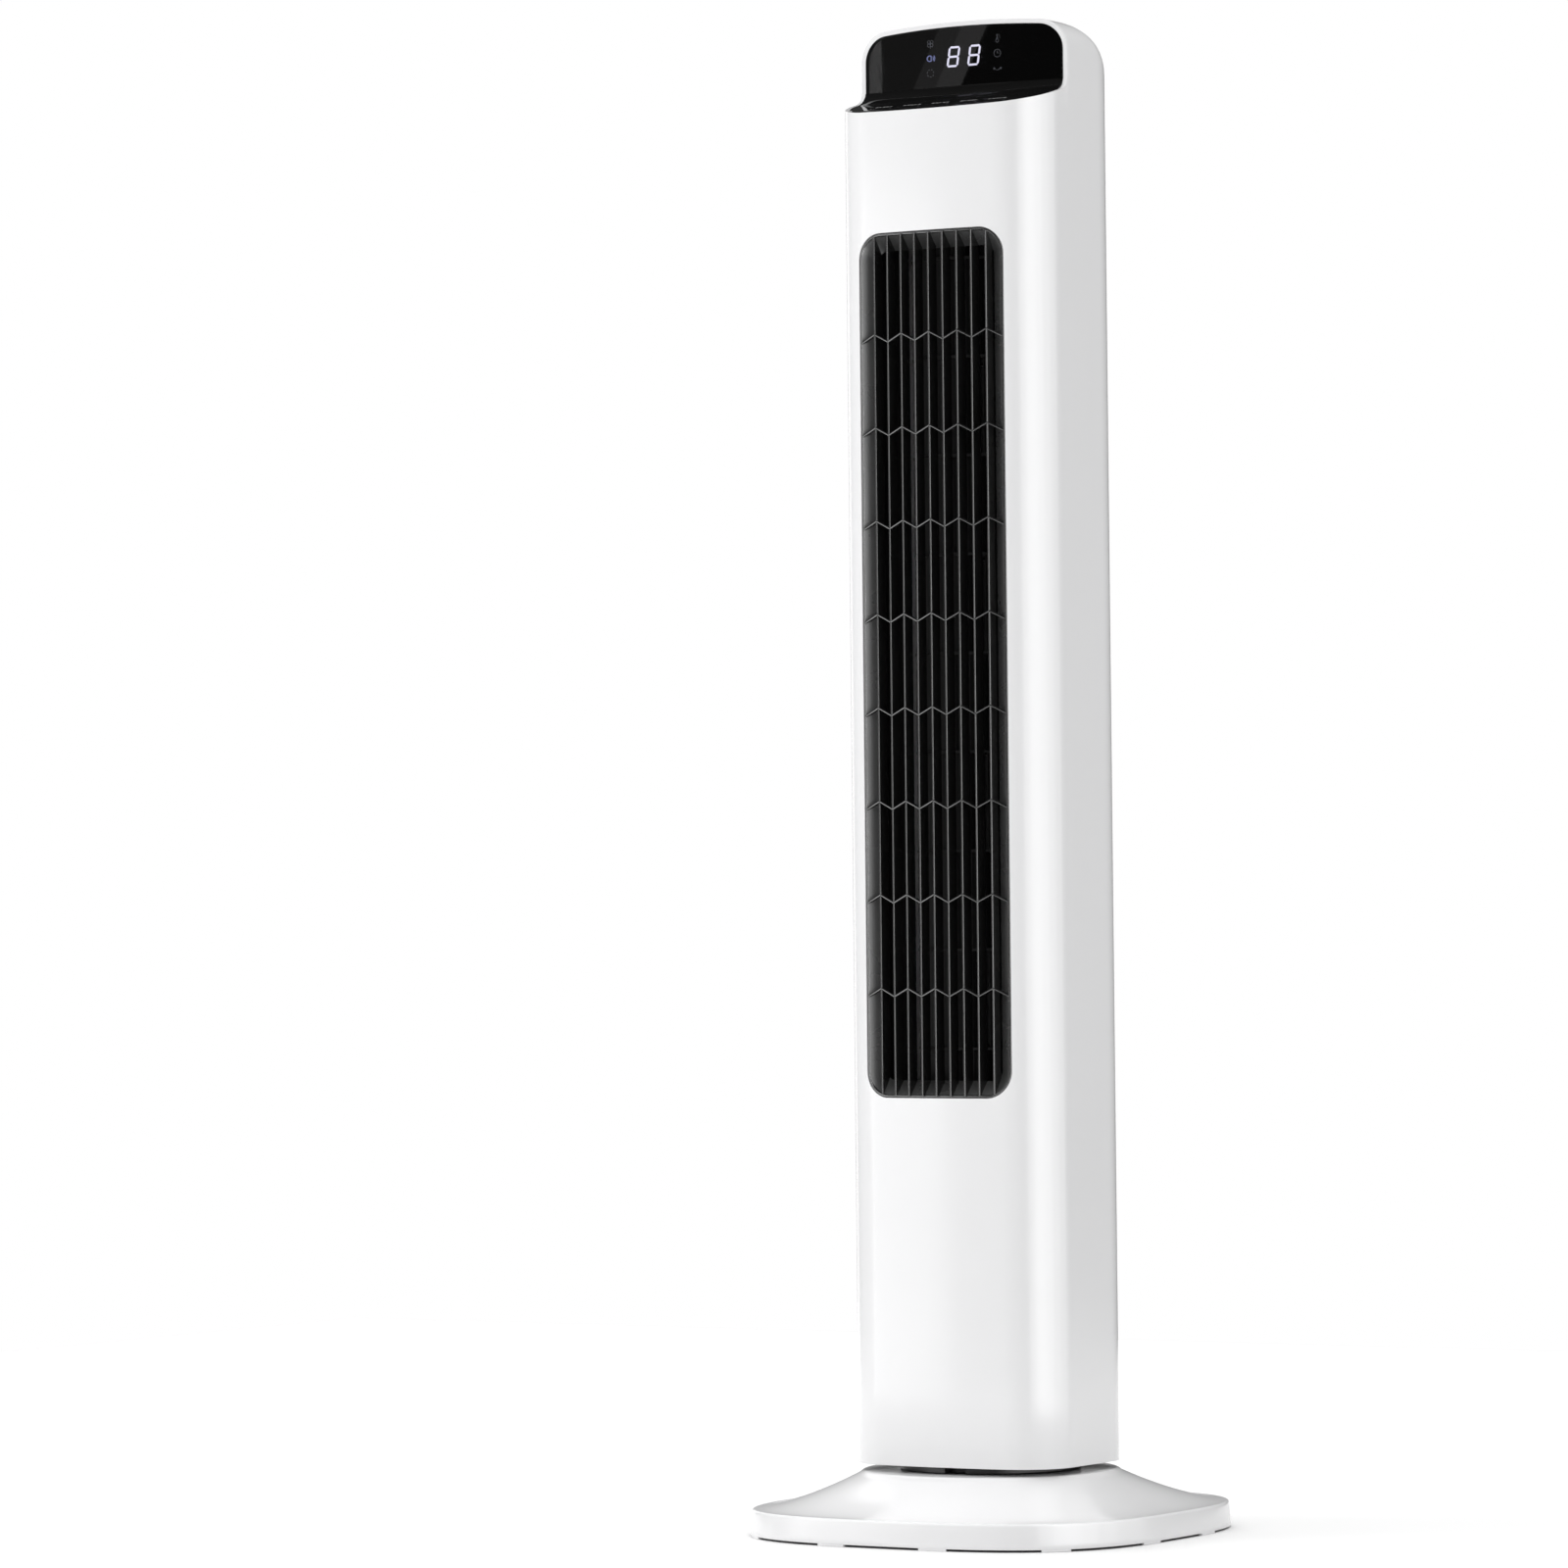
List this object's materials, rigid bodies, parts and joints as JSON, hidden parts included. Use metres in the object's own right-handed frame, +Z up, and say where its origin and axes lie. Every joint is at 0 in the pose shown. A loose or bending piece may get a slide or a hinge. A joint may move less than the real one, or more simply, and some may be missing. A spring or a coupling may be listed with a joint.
{
  "type": "tower fan",
  "caption": "Tower fan: tall rounded white column with a full-height slatted outlet, black control recess with display and keys, swinging on a low rounded-square base.",
  "frame": {"origin": "centre of the base at floor level, on the swing axis", "axes": "+Z up along the swing axis, the air outlet and the controls face -Y, +X to the right seen from behind the outlet looking along +Y"},
  "size_m": [0.292, 0.292, 1.016],
  "materials": {
    "white_gloss": "glossy injection-moulded ABS",
    "black_gloss": "polished",
    "smoked_window": "smoked acrylic, polished",
    "black_matte": "fine satin texture",
    "dark_plastic": "moulded, unpainted",
    "natural_plastic": "natural acetal",
    "rubber_black": "soft",
    "steel": "zinc plated",
    "dark_steel": "laminated sheet",
    "ballast_iron": "rough cast",
    "ferrite": "sintered",
    "bronze": "sintered, oiled",
    "copper": "enamelled wire",
    "board_green": "solder mask",
    "component_dark": "moulded",
    "digit_white": "translucent, lit from behind"
  },
  "bodies": {
    "base": {"base_cover": "white_gloss", "base_plate": "black_matte", "base_ballast": "ballast_iron", "foot_pads": "rubber_black", "base_screws": "steel", "pivot_housing": "dark_plastic", "pivot_screws": "steel", "swivel_gear": "natural_plastic", "thrust_washer": "natural_plastic", "cord_inlet": "rubber_black"},
    "column": {"swivel_collar": "black_matte", "spindle": "natural_plastic", "spindle_ring": "steel", "spindle_screws": "steel", "column_floor": "white_gloss", "front_housing": "white_gloss", "rear_housing": "white_gloss", "housing_screws": "steel", "front_grille": "black_matte", "rear_grille": "black_matte", "handle_cup": "black_matte", "key_deck": "black_gloss", "display_window": "smoked_window", "display_board": "board_green", "display_digits": "digit_white", "ir_receiver": "dark_plastic", "key_board": "board_green", "key_switches": "component_dark", "duct_scroll": "dark_plastic", "duct_tongue": "dark_plastic", "duct_top_plate": "dark_plastic", "duct_bottom_plate": "dark_plastic", "upper_bush": "bronze", "bush_seat": "rubber_black", "motor_bracket": "steel", "motor_mounts": "rubber_black", "motor_bearings": "steel", "motor_stator": "dark_steel", "motor_windings": "copper", "main_board": "board_green", "board_components": "component_dark", "board_screws": "steel", "swing_motor": "steel", "swing_screws": "steel", "display_harness": "rubber_black"},
    "impeller": {"impeller_blades": "dark_plastic", "impeller_discs": "dark_plastic", "impeller_hub": "rubber_black", "motor_rotor": "steel", "motor_magnet": "ferrite", "motor_shaft": "steel", "top_shaft": "steel"},
    "swing_pinion": {"swing_pinion": "natural_plastic"},
    "power_key": {"power_key": "black_gloss"},
    "speed_key": {"speed_key": "black_gloss"},
    "mode_key": {"mode_key": "black_gloss"},
    "timer_key": {"timer_key": "black_gloss"},
    "swing_key": {"swing_key": "black_gloss"}
  },
  "joints": [
    {"name": "column_swing", "type": "hinge", "parent": "base", "child": "column", "pos_m": [0, 0, 0.0463], "axis": [0, 0, 1], "range_deg": [-40, 40]},
    {"name": "impeller_spin", "type": "hinge", "parent": "column", "child": "impeller", "pos_m": [0, -0.002, 0.3], "axis": [0, 0, 1], "continuous": true},
    {"name": "pinion_spin", "type": "hinge", "parent": "column", "child": "swing_pinion", "pos_m": [0, 0.038, 0.043], "axis": [0, 0, 1], "range_deg": [-152, 152]},
    {"name": "power_key_press", "type": "slide", "parent": "column", "child": "power_key", "axis": [0, 0.2544, -0.9671], "range_m": [0, 0.0008], "stiffness_N_per_m": 500},
    {"name": "speed_key_press", "type": "slide", "parent": "column", "child": "speed_key", "axis": [0, 0.2544, -0.9671], "range_m": [0, 0.0008], "stiffness_N_per_m": 500},
    {"name": "mode_key_press", "type": "slide", "parent": "column", "child": "mode_key", "axis": [0, 0.2544, -0.9671], "range_m": [0, 0.0008], "stiffness_N_per_m": 500},
    {"name": "timer_key_press", "type": "slide", "parent": "column", "child": "timer_key", "axis": [0, 0.2544, -0.9671], "range_m": [0, 0.0008], "stiffness_N_per_m": 500},
    {"name": "swing_key_press", "type": "slide", "parent": "column", "child": "swing_key", "axis": [0, 0.2544, -0.9671], "range_m": [0, 0.0008], "stiffness_N_per_m": 500}
  ],
  "couplings": [
    {"joint": "pinion_spin", "follows": "column_swing", "ratio": 3.75}
  ]
}
